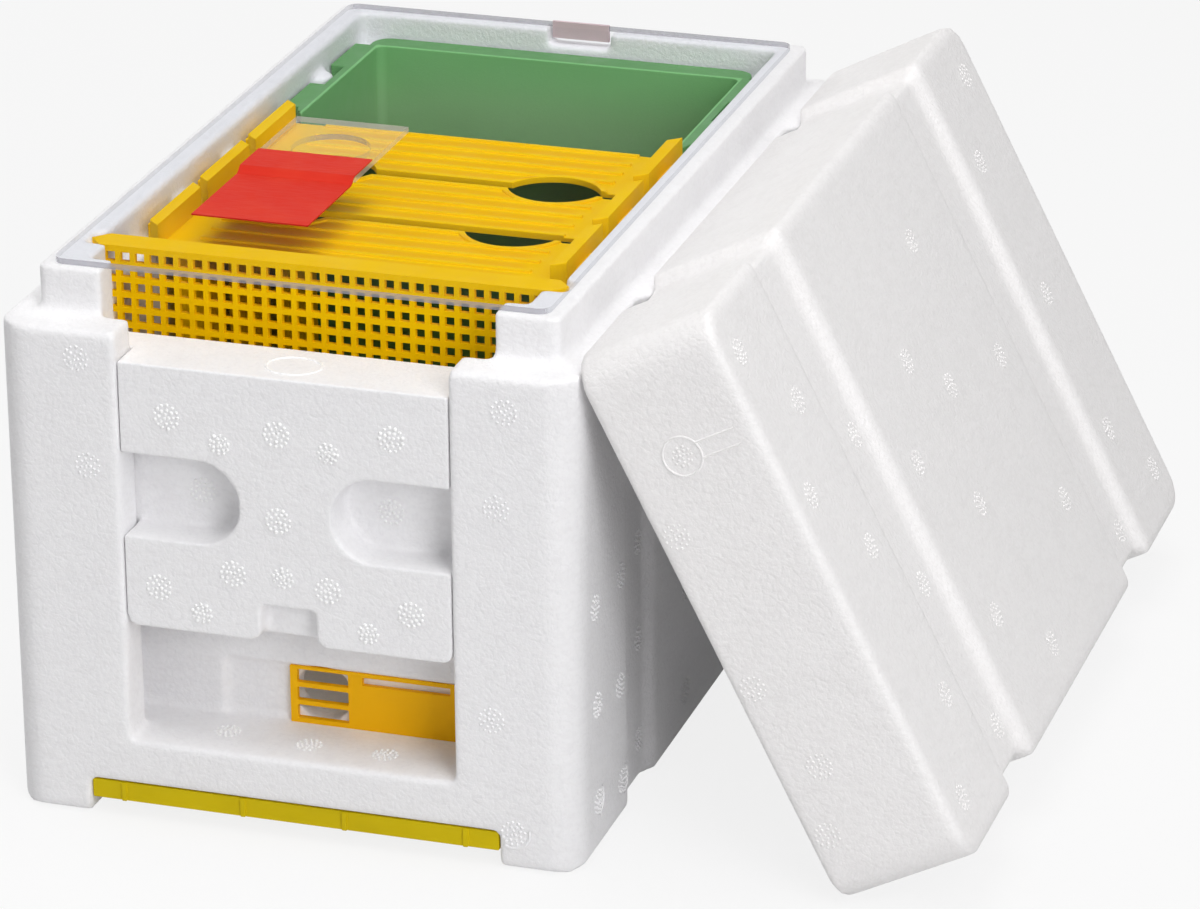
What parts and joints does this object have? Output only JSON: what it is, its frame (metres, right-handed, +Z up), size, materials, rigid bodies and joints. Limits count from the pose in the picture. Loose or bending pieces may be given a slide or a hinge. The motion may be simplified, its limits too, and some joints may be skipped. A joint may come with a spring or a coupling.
{
  "type": "nuc box",
  "caption": "Polystyrene mating nucleus hive with sliding gate, vent grille, hanging frames, feeder tub, clear flapped cover, sliding floor and a leaning lid.",
  "frame": {"origin": "centre of the box's footprint on the ground, between its two foot rails", "axes": "+X to the box's right as its front is seen, +Y from the front to the rear, +Z up"},
  "size_m": [0.2484, 0.2426, 0.1498],
  "materials": {
    "polystyrene": "expanded bead foam",
    "yellow_plastic": "moulded, satin",
    "orange_plastic": "moulded, satin",
    "green_plastic": "moulded, satin",
    "clear_plastic": "clear sheet",
    "red_tape": "adhesive tape",
    "mauve_tab": "plain"
  },
  "bodies": {
    "hive": {"hive_body": "polystyrene"},
    "lid": {"lid": "polystyrene"},
    "gate": {"front_gate": "polystyrene"},
    "entrance": {"entrance_slider": "orange_plastic"},
    "grille": {"vent_grille": "yellow_plastic"},
    "front frame": {"frame_front": "yellow_plastic"},
    "middle frame": {"frame_middle": "yellow_plastic"},
    "rear frame": {"frame_rear": "yellow_plastic"},
    "feeder": {"feeder": "green_plastic"},
    "cover": {"inner_cover": "clear_plastic", "flap_tape_fixed": "red_tape", "cover_tab": "mauve_tab"},
    "flap": {"cell_flap": "clear_plastic", "flap_tape_moving": "red_tape"},
    "floor": {"floor_slide": "orange_plastic"}
  },
  "joints": [
    {"name": "lid_lift", "type": "slide", "parent": "hive", "child": "lid", "axis": [0, 0, 1], "range_m": [0, 0.25]},
    {"name": "gate_slide", "type": "slide", "parent": "hive", "child": "gate", "axis": [0, 0, 1], "range_m": [-0.031, 0.018]},
    {"name": "entrance_slide", "type": "slide", "parent": "hive", "child": "entrance", "axis": [-1, 0, 0], "range_m": [0, 0.0175]},
    {"name": "cover_lift", "type": "slide", "parent": "hive", "child": "cover", "axis": [0, 0, 1], "range_m": [0, 0.3]},
    {"name": "grille_lift", "type": "slide", "parent": "hive", "child": "grille", "axis": [0, 0, 1], "range_m": [0, 0.075]},
    {"name": "front_frame_lift", "type": "slide", "parent": "hive", "child": "front frame", "axis": [0, 0, 1], "range_m": [0, 0.15]},
    {"name": "middle_frame_lift", "type": "slide", "parent": "hive", "child": "middle frame", "axis": [0, 0, 1], "range_m": [0, 0.15]},
    {"name": "rear_frame_lift", "type": "slide", "parent": "hive", "child": "rear frame", "axis": [0, 0, 1], "range_m": [0, 0.15]},
    {"name": "feeder_lift", "type": "slide", "parent": "hive", "child": "feeder", "axis": [0, 0, 1], "range_m": [0, 0.12]},
    {"name": "floor_pull", "type": "slide", "parent": "hive", "child": "floor", "axis": [0, -1, 0], "range_m": [0, 0.19]},
    {"name": "flap_hinge", "type": "hinge", "parent": "cover", "child": "flap", "pos_m": [-0.0269, -0.034, 0.1437], "axis": [1, 0, 0], "range_deg": [0, 95]}
  ],
  "couplings": [
    {"joint": "grille_lift", "follows": "cover_lift", "ratio": 0.25},
    {"joint": "front_frame_lift", "follows": "cover_lift", "ratio": 0.5},
    {"joint": "middle_frame_lift", "follows": "cover_lift", "ratio": 0.5},
    {"joint": "rear_frame_lift", "follows": "cover_lift", "ratio": 0.5},
    {"joint": "feeder_lift", "follows": "cover_lift", "ratio": 0.4}
  ]
}
